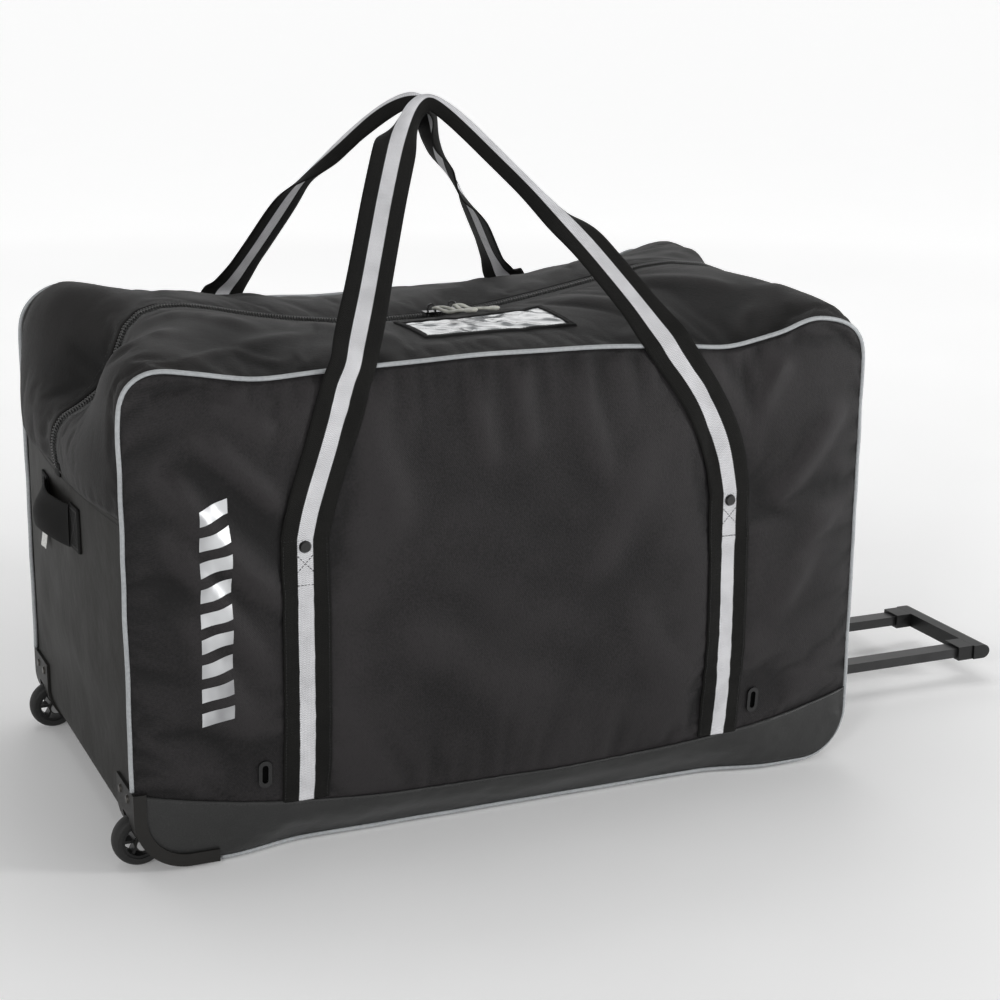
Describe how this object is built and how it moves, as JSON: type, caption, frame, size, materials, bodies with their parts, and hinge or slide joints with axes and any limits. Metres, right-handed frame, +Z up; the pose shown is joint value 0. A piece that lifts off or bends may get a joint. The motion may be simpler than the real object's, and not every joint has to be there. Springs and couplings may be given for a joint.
{
  "type": "wheeled equipment bag",
  "caption": "Padded boxy sports equipment bag with a top zipper, standing webbing carry loops, end grab handles, corner wheels and a telescoping tow handle.",
  "frame": {"origin": "on the floor under the middle of the bag body, on the underside of the middle skid runner", "axes": "+X to the end with the tow handle, -Y to the front panel, +Z up"},
  "size_m": [1.2086, 0.5336, 0.7766],
  "materials": {
    "body_fabric": "padded woven polyester, matt",
    "vinyl": "vinyl-coated fabric, satin, slightly wrinkled",
    "coated_fabric": "smooth coated fabric, satin",
    "piping": "light grey satin piping",
    "webbing": "woven webbing with a grey stripe",
    "zip_tape": "woven zipper tape with a nylon coil",
    "clear_vinyl": "clear creased vinyl",
    "binding": "narrow woven binding",
    "black_metal": "black enamel",
    "rivet_metal": "dull dark metal",
    "puller_rubber": "pale grey moulded rubber",
    "guard_plastic": "grained moulded plastic",
    "black_plastic": "moulded plastic",
    "tyre": "soft grey-black tread",
    "steel": "plain steel",
    "tube_metal": "mill finish",
    "rod_metal": "dark grey anodised look",
    "board": "stiff plastic sheet",
    "foam": "closed-cell foam",
    "tag": "blank woven tag"
  },
  "bodies": {
    "bag": {"front_panel": "body_fabric", "back_panel": "body_fabric", "front_band": "vinyl", "back_band": "vinyl", "end_panel_left": "coated_fabric", "end_panel_right": "coated_fabric", "shoulder_front_left": "body_fabric", "shoulder_front_right": "body_fabric", "shoulder_back_left": "body_fabric", "shoulder_back_right": "body_fabric", "base_panel": "vinyl", "floor_board": "board", "floor_rails": "foam", "piping_front": "piping", "piping_back": "piping", "zip_end_left": "zip_tape", "zip_end_right": "zip_tape", "strap_legs_front": "webbing", "strap_legs_back": "webbing", "strap_rivets": "black_metal", "eyelets": "black_metal", "guard_front": "guard_plastic", "guard_back": "guard_plastic", "guard_rivets": "rivet_metal", "wheel_axles": "steel", "skid_runners": "black_plastic", "skid_screws": "steel", "tow_tubes": "tube_metal", "tow_anchor": "black_plastic", "tow_bezel": "black_plastic", "end_patches": "webbing", "end_tag": "tag"},
    "flap_front": {"flap_front": "body_fabric", "zip_front": "zip_tape", "id_window": "clear_vinyl", "id_binding": "binding"},
    "flap_back": {"flap_back": "body_fabric", "zip_back": "zip_tape"},
    "wheel_front": {"hub_front": "black_plastic", "tyre_front": "tyre"},
    "wheel_back": {"hub_back": "black_plastic", "tyre_back": "tyre"},
    "tow_handle": {"tow_rods": "rod_metal", "tow_grip": "black_plastic", "tow_sockets": "black_plastic"},
    "slider_left": {"slider_left": "black_metal"},
    "slider_right": {"slider_right": "black_metal"},
    "pull_left": {"pull_left": "puller_rubber"},
    "pull_right": {"pull_right": "puller_rubber"},
    "carry_loop_front": {"carry_loop_front": "webbing"},
    "carry_loop_back": {"carry_loop_back": "webbing"},
    "end_loop_left": {"end_loop_left": "webbing"},
    "end_loop_right": {"end_loop_right": "webbing"}
  },
  "joints": [
    {"name": "wheel_front_spin", "type": "hinge", "parent": "bag", "child": "wheel_front", "pos_m": [-0.41, -0.2095, 0.028], "axis": [0, 1, 0], "continuous": true},
    {"name": "wheel_back_spin", "type": "hinge", "parent": "bag", "child": "wheel_back", "pos_m": [-0.41, 0.2095, 0.028], "axis": [0, 1, 0], "continuous": true},
    {"name": "tow_handle_slide", "type": "slide", "parent": "bag", "child": "tow_handle", "axis": [1, 0, 0], "range_m": [-0.264, 0]},
    {"name": "flap_front_open", "type": "hinge", "parent": "bag", "child": "flap_front", "pos_m": [0, -0.233, 0.502], "axis": [1, 0, 0], "range_deg": [0, 38], "deforming": ["zip_front"]},
    {"name": "flap_back_open", "type": "hinge", "parent": "bag", "child": "flap_back", "pos_m": [0, 0.233, 0.502], "axis": [-1, 0, 0], "range_deg": [0, 38], "deforming": ["zip_back"]},
    {"name": "slider_left_slide", "type": "slide", "parent": "bag", "child": "slider_left", "axis": [-0.9975, 0, 0.0704], "range_m": [0, 0.213]},
    {"name": "slider_right_slide", "type": "slide", "parent": "bag", "child": "slider_right", "axis": [0.9879, 0, 0.1549], "range_m": [0, 0.1928]},
    {"name": "pull_left_swing", "type": "hinge", "parent": "slider_left", "child": "pull_left", "pos_m": [-0.002, 0, 0.5196], "axis": [-0.8883, -0.4592, 0], "range_deg": [0, 150], "deforming": ["pull_left"]},
    {"name": "pull_right_swing", "type": "hinge", "parent": "slider_right", "child": "pull_right", "pos_m": [0.024, 0, 0.5217], "axis": [-0.8883, -0.4592, 0], "range_deg": [0, 150], "deforming": ["pull_right"]},
    {"name": "carry_loop_front_swing", "type": "hinge", "parent": "bag", "child": "carry_loop_front", "pos_m": [0, -0.264, 0.3485], "axis": [1, 0, 0], "range_deg": [0, 120]},
    {"name": "carry_loop_back_swing", "type": "hinge", "parent": "bag", "child": "carry_loop_back", "pos_m": [0, 0.264, 0.3485], "axis": [-1, 0, 0], "range_deg": [0, 120]},
    {"name": "end_loop_left_swing", "type": "hinge", "parent": "bag", "child": "end_loop_left", "pos_m": [-0.433, 0, 0.326], "axis": [0, 1, 0], "range_deg": [-35, 50], "deforming": ["end_loop_left"]},
    {"name": "end_loop_right_swing", "type": "hinge", "parent": "bag", "child": "end_loop_right", "pos_m": [0.433, 0, 0.326], "axis": [0, -1, 0], "range_deg": [-35, 50], "deforming": ["end_loop_right"]}
  ],
  "couplings": [
    {"joint": "flap_back_open", "follows": "flap_front_open", "ratio": 1},
    {"joint": "slider_left_slide", "follows": "flap_front_open", "m_per_rad": 0.3204},
    {"joint": "slider_right_slide", "follows": "flap_front_open", "m_per_rad": 0.29}
  ]
}
